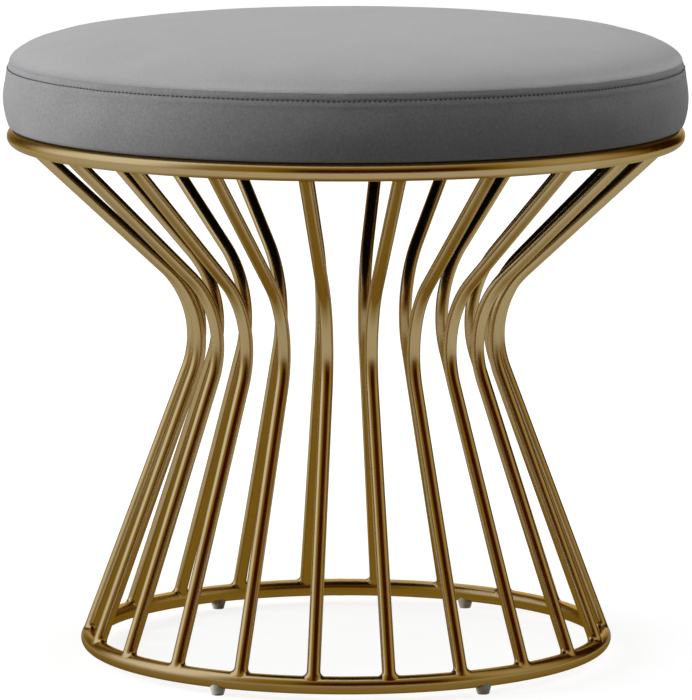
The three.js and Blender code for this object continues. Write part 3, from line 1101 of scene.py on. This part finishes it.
def staples():
    """Wire staples round the base cloth's edge, clear of the lugs."""
    low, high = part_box("dust_cover")
    radius, pitch, clear = high.x - 7 * MM, 36 * MM, 20 * MM
    width, wire, bend = 10 * MM, 0.6 * MM, 0.2 * MM
    master = begin(
        "staple",
        bpy.ops.mesh.primitive_cube_add,
        size=1,
        location=(radius, 0, low.z - 0.3 * wire),
        scale=(wire, width, wire),
    )
    with editing(master):
        bpy.ops.mesh.select_mode(type="FACE")
        cage = bmesh.from_edit_mesh(master.data)
        for face in cage.faces:
            face.select_set(abs(face.normal.y) > 0.5)
        bmesh.update_edit_mesh(master.data)
        bpy.ops.mesh.bevel(offset=bend, segments=2)
    count = round(TURN * radius / pitch)
    angles = [TURN * (i + 0.5) / count for i in range(count)]
    lugs = lug_places()
    free = [a for a in angles if all(abs(math.remainder(a - b, TURN)) > clear / radius for b in lugs)]
    made = round_the_axis(master, numbered("staple", len(free)), free)
    deselect()
    for piece in made:
        piece.select_set(True)
    bpy.context.view_layer.objects.active = made[0]
    bpy.ops.object.join()
    made[0].name = made[0].data.name = "staples"
    return made[0]


# Operators


class OBJECT_OT_stool_hoops(bpy.types.Operator):
    """Models the two hoops"""

    bl_idname = "object.stool_hoops"
    bl_label = "Hoops"
    bl_options = {"REGISTER", "UNDO"}

    def execute(self, context):
        sizes = context.scene.stool_sizes
        brass = satin_brass(context.scene.stool_colours)
        bottom = hoop("bottom_hoop", sizes.bottom_radius, sizes.bottom_height, sizes)
        dress(bottom, brass, "satin_brass", "bottom_ring")
        top = hoop("top_hoop", sizes.top_radius, sizes.top_height, sizes)
        dress(top, brass, "satin_brass", "top_ring")
        return {"FINISHED"}


class OBJECT_OT_stool_rods(bpy.types.Operator):
    """Models the bent rods and their welds"""

    bl_idname = "object.stool_rods"
    bl_label = "Rods"
    bl_options = {"REGISTER", "UNDO"}

    def execute(self, context):
        brass = satin_brass(context.scene.stool_colours)
        angles = [(i + 0.5) * rod_pitch() for i in range(len(nodes_named("rod_")))]
        master = bent_rod(context.scene.stool_sizes)
        dress_round(master, "bent_rod", angles, "rod_", brass, "satin_brass", sharp=60)
        return {"FINISHED"}


class OBJECT_OT_stool_glides(bpy.types.Operator):
    """Models the glides under the bottom hoop"""

    bl_idname = "object.stool_glides"
    bl_label = "Glides"
    bl_options = {"REGISTER", "UNDO"}

    def execute(self, context):
        nylon = natural_nylon(context.scene.stool_colours)
        master = glide(context.scene.stool_sizes)
        dress_round(master, "glide", GLIDE_ANGLES, "foot_", nylon, "glide_plastic")
        return {"FINISHED"}


class OBJECT_OT_stool_seat(bpy.types.Operator):
    """Models the seat: board, foam, velvet cover and topstitching"""

    bl_idname = "object.stool_seat"
    bl_label = "Seat"
    bl_options = {"REGISTER", "UNDO"}

    def execute(self, context):
        sizes = context.scene.stool_sizes
        colours = context.scene.stool_colours
        coat(frame["nodes"]["seat_board"], birch_plywood(colours))
        uneven = unevenness(sizes)
        foam = foam_pad(sizes)
        panel = top_panel(sizes)
        band = side_band(sizes)
        stitches = topstitch(sizes)
        settle(foam, sizes, uneven, sewn_here=False)
        settle(panel, sizes, uneven)
        settle(band, sizes, uneven)
        settle(stitches, sizes, uneven, sewn_here=False)
        dress(foam, seat_foam(colours), "foam", "seat_foam")
        join_height = join_place(sizes)[1]
        # The grain shows less on the lit crown than on the side, where light grazes the tufts
        # One velvet in two tones: the top panel's is painted lighter and the band's darker, as painted
        # light and shade
        painted_lit_pile = grey_velvet("velvet_painted_lit_pile", colours.velvet_top, 0.08, 0.06 * MM, join_height, 0.7)
        painted_shaded_pile = grey_velvet("velvet_painted_shaded_pile", colours.velvet_side, 0.15, 0.15 * MM)
        dress(panel, painted_lit_pile, "velvet", "cover_top_panel")
        dress(band, painted_shaded_pile, "velvet", "cover_side_band")
        dress(stitches, sewing_thread(colours), "velvet", sharp=80)
        return {"FINISHED"}


class OBJECT_OT_stool_base_cloth(bpy.types.Operator):
    """Models the cloth under the seat and its staples"""

    bl_idname = "object.stool_base_cloth"
    bl_label = "Base cloth"
    bl_options = {"REGISTER", "UNDO"}

    def execute(self, context):
        colours = context.scene.stool_colours
        cloth = base_cloth()
        dress(cloth, spun_bonded_cloth(colours), "dust_cloth", "dust_cover")
        dress(staples(), zinc_plate(colours), "zinc_steel")
        return {"FINISHED"}


class OBJECT_OT_stool_fixings(bpy.types.Operator):
    """Models the lugs, screws and washers that hold the seat, and finishes the tee nuts"""

    bl_idname = "object.stool_fixings"
    bl_label = "Fixings"
    bl_options = {"REGISTER", "UNDO"}

    def execute(self, context):
        sizes = context.scene.stool_sizes
        brass = satin_brass(context.scene.stool_colours)
        zinc = zinc_plate(context.scene.stool_colours)
        kinds = [
            (lug, "lug", "mounting_tab_", brass, "satin_brass"),
            (seat_screw, "socket_screw", "seat_screw_", zinc, "zinc_steel"),
            (washer, "plain_washer", "washer_", zinc, "zinc_steel"),
        ]
        for make, name, start, material, slot in kinds:
            dress_round(make(sizes), name, lug_places(), start, material, slot)
        for node in nodes_named("tee_nut_"):
            coat(frame["nodes"][node], zinc)
        return {"FINISHED"}


class OBJECT_OT_stool_stage(bpy.types.Operator):
    """Sets the camera, the floor, the light tent and the lamps"""

    bl_idname = "object.stool_stage"
    bl_label = "Stage"
    bl_options = {"REGISTER", "UNDO"}

    def execute(self, context):
        camera()
        floor(context.scene.stool_colours)
        world()
        light_tent()
        lamps()
        context.scene.view_settings.view_transform = "Standard"
        return {"FINISHED"}


class VIEW3D_PT_stool(bpy.types.Panel):
    """Lists the stool's pieces, sizes and colours in the sidebar"""

    bl_label = "Vanity Stool"
    bl_idname = "VIEW3D_PT_stool"
    bl_space_type = "VIEW_3D"
    bl_region_type = "UI"
    bl_category = "Stool"

    def draw(self, context):
        for operator in OPERATORS:
            self.layout.operator(operator.bl_idname)
        for group in (context.scene.stool_sizes, context.scene.stool_colours):
            column = self.layout.column(align=True)
            for name in group.__annotations__:
                column.prop(group, name)


# The stage


def camera():
    """A long lens at the photograph's viewing angle, a little above the seat."""
    distance, height = 4339.35 * MM, 859.2 * MM
    azimuth, pitch = math.radians(-1.136), math.radians(8.378)
    data = bpy.data.cameras.new("camera")
    data.sensor_fit = "HORIZONTAL"
    data.sensor_width = 36
    data.lens = 316.15
    eye = bpy.data.objects.new("camera", data)
    eye.location = (distance * math.sin(azimuth), -distance * math.cos(azimuth), height)
    eye.rotation_euler = (QUARTER - pitch, 0, azimuth)
    data.clip_end = 50
    bpy.context.scene.collection.objects.link(eye)
    bpy.context.scene.camera = eye


def seen(tree, *rays):
    """1 for light paths of the given kinds, such as the camera's own."""
    path = add(tree, "ShaderNodeLightPath")
    value = path[rays[0]]
    for ray in rays[1:]:
        value = add(tree, "ShaderNodeMath", {0: value, 1: path[ray]}, operation="MAXIMUM")[0]
    return value


def world():
    """Even studio air: plain light on the stool, and white where the camera or a gloss looks."""
    air = bpy.data.worlds.new("studio")
    bpy.context.scene.world = air
    air.use_nodes = True
    tree = air.node_tree
    tree.nodes.clear()
    inputs = {
        "Value": seen(tree, "Is Camera Ray", "Is Glossy Ray", "Is Transmission Ray"),
        "To Min": AMBIENT,
        "To Max": 1,
    }
    strength = add(tree, "ShaderNodeMapRange", inputs)[0]
    light = add(tree, "ShaderNodeBackground", {"Color": (1, 1, 1, 1), "Strength": strength})[0]
    add(tree, "ShaderNodeOutputWorld", {"Surface": light})


def floor(colours):
    """A pale floor that keeps the stool's shadow, and is white away from it."""
    piece = begin("studio_floor", bpy.ops.mesh.primitive_plane_add, size=24)
    material, tree, place = new_material("painted_studio_floor")
    reach = add(tree, "ShaderNodeVectorMath", {0: place}, operation="LENGTH")["Value"]
    speckle = add(tree, "ShaderNodeTexNoise", {"Vector": place, "Scale": per(40), "Detail": 3})[0]
    paint = shaded(tree, speckle, colours.floor, 0.99, 1.01)
    matte = add(tree, "ShaderNodeBsdfDiffuse", {"Color": paint})[0]
    # Its own light, dimmer near the stool, takes it to white where the lamps don't
    inputs = {"Value": reach, "From Min": 0.2, "From Max": 0.9, "To Min": 0.84, "To Max": 1}
    level = add(tree, "ShaderNodeMapRange", inputs, interpolation_type="SMOOTHSTEP")[0]
    shown = seen(tree, "Is Camera Ray", "Is Transmission Ray")
    lift = add(tree, "ShaderNodeMath", {0: level, 1: shown}, operation="MULTIPLY")[0]
    glow = add(tree, "ShaderNodeEmission", {"Strength": lift})[0]
    # Painted reflection of the floor: dim and warm near the stool for the seat's shadow and brass
    # bounce
    stops = [(0.17, rgba(linear("#8F7E3C"))), (0.4, rgba(linear("#C8CEE6")))]
    painted_floor_reflection = add(tree, "ShaderNodeValToRGB", {"Fac": reach}, stops)[0]
    mirrored = add(tree, "ShaderNodeEmission", {"Color": painted_floor_reflection})[0]
    plain = add(tree, "ShaderNodeAddShader", {0: matte, 1: glow})[0]
    inputs = {0: seen(tree, "Is Glossy Ray"), 1: plain, 2: mirrored}
    coat(piece, surfaced(material, inputs, "ShaderNodeMixShader"))


def facing(azimuth, elevation, distance, aim):
    """Place and turn of a flat thing that faces a point, seen from it at an azimuth and elevation."""
    a, e = math.radians(azimuth), math.radians(elevation)
    back = Vector((math.sin(a) * math.cos(e), -math.cos(a) * math.cos(e), math.sin(e)))
    return aim + back * distance, (-back).to_track_quat("-Z", "Y").to_euler()


# Name, azimuth and elevation in degrees, distance, size and radiance of the lamps
LAMPS = [
    ("overhead_softbox", 27, 76, 2.0, 1.6, 2.4),
    ("left_softbox", -95, 14, 4.0, 3.0, 6.1),
    ("right_softbox", 128, 14, 4.0, 3.0, 2.2),
]

# Level of the plain light that reaches the stool from all round
AMBIENT = 0.02

# What the bars mirror of the studio, in degrees: first and last azimuth from the front towards the
# right, lowest and highest elevation, width of the soft edge, colour and level
TENT_WALL = "#97864F"
TENT_PANELS = [
    (-180, 180, 62, 120, 14, "#BCC6D9", 1.1),
    (-160, -20, 60, 120, 14, "#E4EAFF", 1.1),
    (-180, 180, 76, 120, 8, "#D8DEFF", 3.2),
    (-125, -61, 5, 70, 14, "#CBD6FF", 1.55),
    (62, 102, 8, 52, 14, "#CFC6B4", 0.8),
    (-40, 58, -20, 56, 10, "#917B18", 1.0),
    (-22, 46, 2, 42, 9, "#3C0600", 1.0),
    (110, 156, -4, 55, 12, "#917B18", 1.0),
    (116, 152, -2, 42, 7, "#2E0C00", 1.0),
    (118, 154, 18, 62, 7, "#2E0C00", 1.0),
    (-151, -133, 8, 44, 6, "#5A4410", 1.0),
    (158, 202, -20, 55, 9, "#F4ECE4", 1.0),
    (-202, -164, -20, 55, 9, "#F4ECE4", 1.0),
]


# Sockets of a mix node that mixes colours: share, both colours, and the colour that comes out
MIX_SHARE, MIX_FIRST, MIX_SECOND, MIX_OUT = 0, 6, 7, 2


def light_tent():
    """A dome of studio cloth, seen by reflections alone, with soft boxes and dark flags."""
    radius = 3
    piece = begin(
        "light_tent",
        bpy.ops.mesh.primitive_uv_sphere_add,
        segments=64,
        ring_count=32,
        radius=radius,
    )
    with editing(piece):
        pick(piece, lambda p: p.z < -TOUCH)
        bpy.ops.mesh.delete(type="VERT")
    material, tree, place = new_material("studio_tent_cloth")
    axes = add(tree, "ShaderNodeSeparateXYZ", {0: place})
    ahead = add(tree, "ShaderNodeMath", {0: axes[1], 1: -1}, operation="MULTIPLY")[0]
    azimuth = add(tree, "ShaderNodeMath", {0: axes[0], 1: ahead}, operation="ARCTAN2")[0]
    height = add(tree, "ShaderNodeMath", {0: axes[2], 1: 1 / radius}, operation="MULTIPLY")[0]
    elevation = add(tree, "ShaderNodeMath", {0: height}, operation="ARCSINE")[0]
    shade = rgba(linear(TENT_WALL))
    for first, last, low, high, soft, tone, level in TENT_PANELS:
        share = 1
        edges = [(azimuth, first, 0), (azimuth, last, 1), (elevation, low, 0), (elevation, high, 1)]
        for value, edge, before in edges:
            inputs = {
                "Value": value,
                "From Min": math.radians(edge - soft),
                "From Max": math.radians(edge + soft),
                "To Min": before,
                "To Max": 1 - before,
            }
            step = add(tree, "ShaderNodeMapRange", inputs, interpolation_type="SMOOTHSTEP")[0]
            share = add(tree, "ShaderNodeMath", {0: share, 1: step}, operation="MULTIPLY")[0]
        panel = [channel * level for channel in linear(tone)] + [1]
        inputs = {MIX_SHARE: share, MIX_FIRST: shade, MIX_SECOND: panel}
        shade = add(tree, "ShaderNodeMix", inputs, data_type="RGBA")[MIX_OUT]
    coat(piece, surfaced(material, {"Color": shade}, "ShaderNodeEmission"))
    piece.visible_camera = False
    piece.visible_diffuse = False
    piece.visible_transmission = False
    piece.visible_shadow = False


def lamps():
    """Soft boxes overhead, at the left and, dimmer, at the right."""
    aim = Vector((0, 0, 0.4))
    for name, azimuth, elevation, distance, size, radiance in LAMPS:
        data = bpy.data.lights.new(name, "AREA")
        data.size = size
        data.energy = radiance * math.pi * size**2
        lamp = bpy.data.objects.new(name, data)
        lamp.location, lamp.rotation_euler = facing(azimuth, elevation, distance, aim)
        lamp.visible_camera = False
        lamp.visible_glossy = False
        bpy.context.scene.collection.objects.link(lamp)


OPERATORS = [
    OBJECT_OT_stool_hoops,
    OBJECT_OT_stool_rods,
    OBJECT_OT_stool_glides,
    OBJECT_OT_stool_seat,
    OBJECT_OT_stool_base_cloth,
    OBJECT_OT_stool_fixings,
    OBJECT_OT_stool_stage,
]


def register():
    """Makes the sizes, colours, operators and panel known to Blender."""
    for group in (StoolSizes, StoolColours, *OPERATORS, VIEW3D_PT_stool):
        bpy.utils.register_class(group)
    bpy.types.Scene.stool_sizes = bpy.props.PointerProperty(type=StoolSizes)
    bpy.types.Scene.stool_colours = bpy.props.PointerProperty(type=StoolColours)


def unregister():
    """Takes them away again."""
    del bpy.types.Scene.stool_sizes
    del bpy.types.Scene.stool_colours
    for group in (VIEW3D_PT_stool, *reversed(OPERATORS), StoolColours, StoolSizes):
        bpy.utils.unregister_class(group)


def main():
    """Builds the whole stool."""
    register()
    bpy.ops.object.stool_hoops()
    bpy.ops.object.stool_rods()
    bpy.ops.object.stool_glides()
    bpy.ops.object.stool_seat()
    bpy.ops.object.stool_base_cloth()
    bpy.ops.object.stool_fixings()
    bpy.ops.object.stool_stage()


if __name__ == "__main__":
    main()
